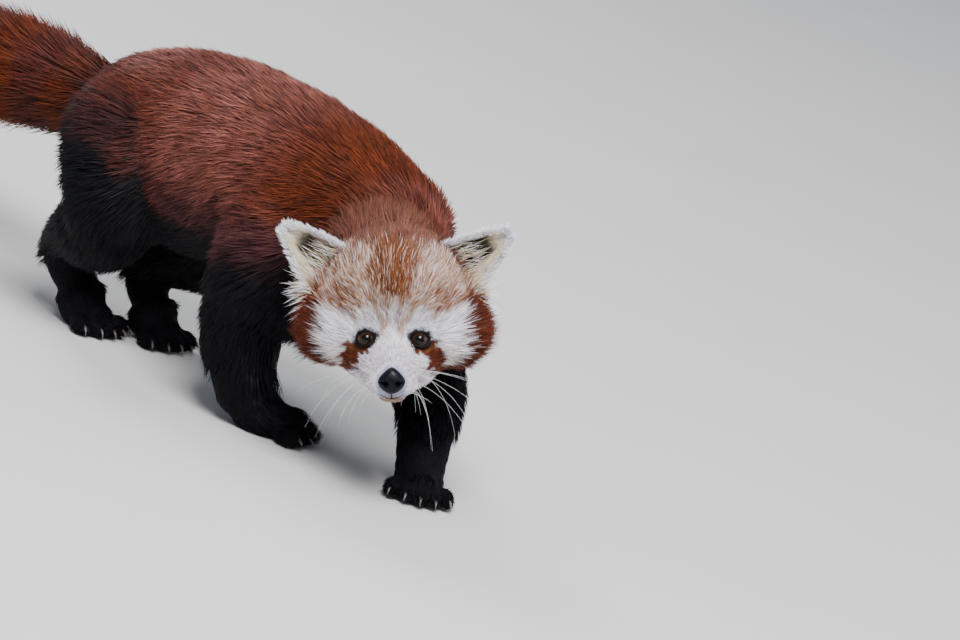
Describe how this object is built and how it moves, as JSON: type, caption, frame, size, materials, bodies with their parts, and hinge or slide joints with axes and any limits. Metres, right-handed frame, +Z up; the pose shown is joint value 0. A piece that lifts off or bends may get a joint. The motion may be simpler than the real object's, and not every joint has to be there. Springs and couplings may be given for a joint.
{
  "type": "red panda model",
  "caption": "Life-size still model of a red panda in a slow walk, head low and turned aside, long ringed tail held out behind.",
  "frame": {"origin": "On the floor under the middle of the whole animal's box, from nose and claws to the tail's tip", "axes": "The animal faces -Y with its tail towards +Y, its left side is +X, and +Z is up from the floor it stands on"},
  "size_m": [0.2304, 0.9228, 0.2711],
  "materials": {
    "rust_coat": "long glossy reddish brown coat",
    "black_coat": "black fur with a cool sheen",
    "face_coat": "short fur, white on the cheeks and muzzle, rusty on the forehead",
    "cream_coat": "long soft white fur",
    "nose_leather": "moist, finely grained",
    "eye": "wet, dark brown"
  },
  "bodies": {
    "root": {"head": "face_coat", "ear_left": "cream_coat", "ear_right": "cream_coat", "eye_left": "eye", "eye_right": "eye", "nose": "nose_leather", "neck": "rust_coat", "trunk": "rust_coat", "tail": "rust_coat", "foreleg_upper_left": "black_coat", "foreleg_lower_left": "black_coat", "forepaw_left": "black_coat", "foreleg_upper_right": "black_coat", "foreleg_lower_right": "black_coat", "forepaw_right": "black_coat", "hindleg_upper_left": "black_coat", "hindleg_lower_left": "black_coat", "hindpaw_left": "black_coat", "hindleg_upper_right": "black_coat", "hindleg_lower_right": "black_coat", "hindpaw_right": "black_coat"}
  },
  "joints": []
}
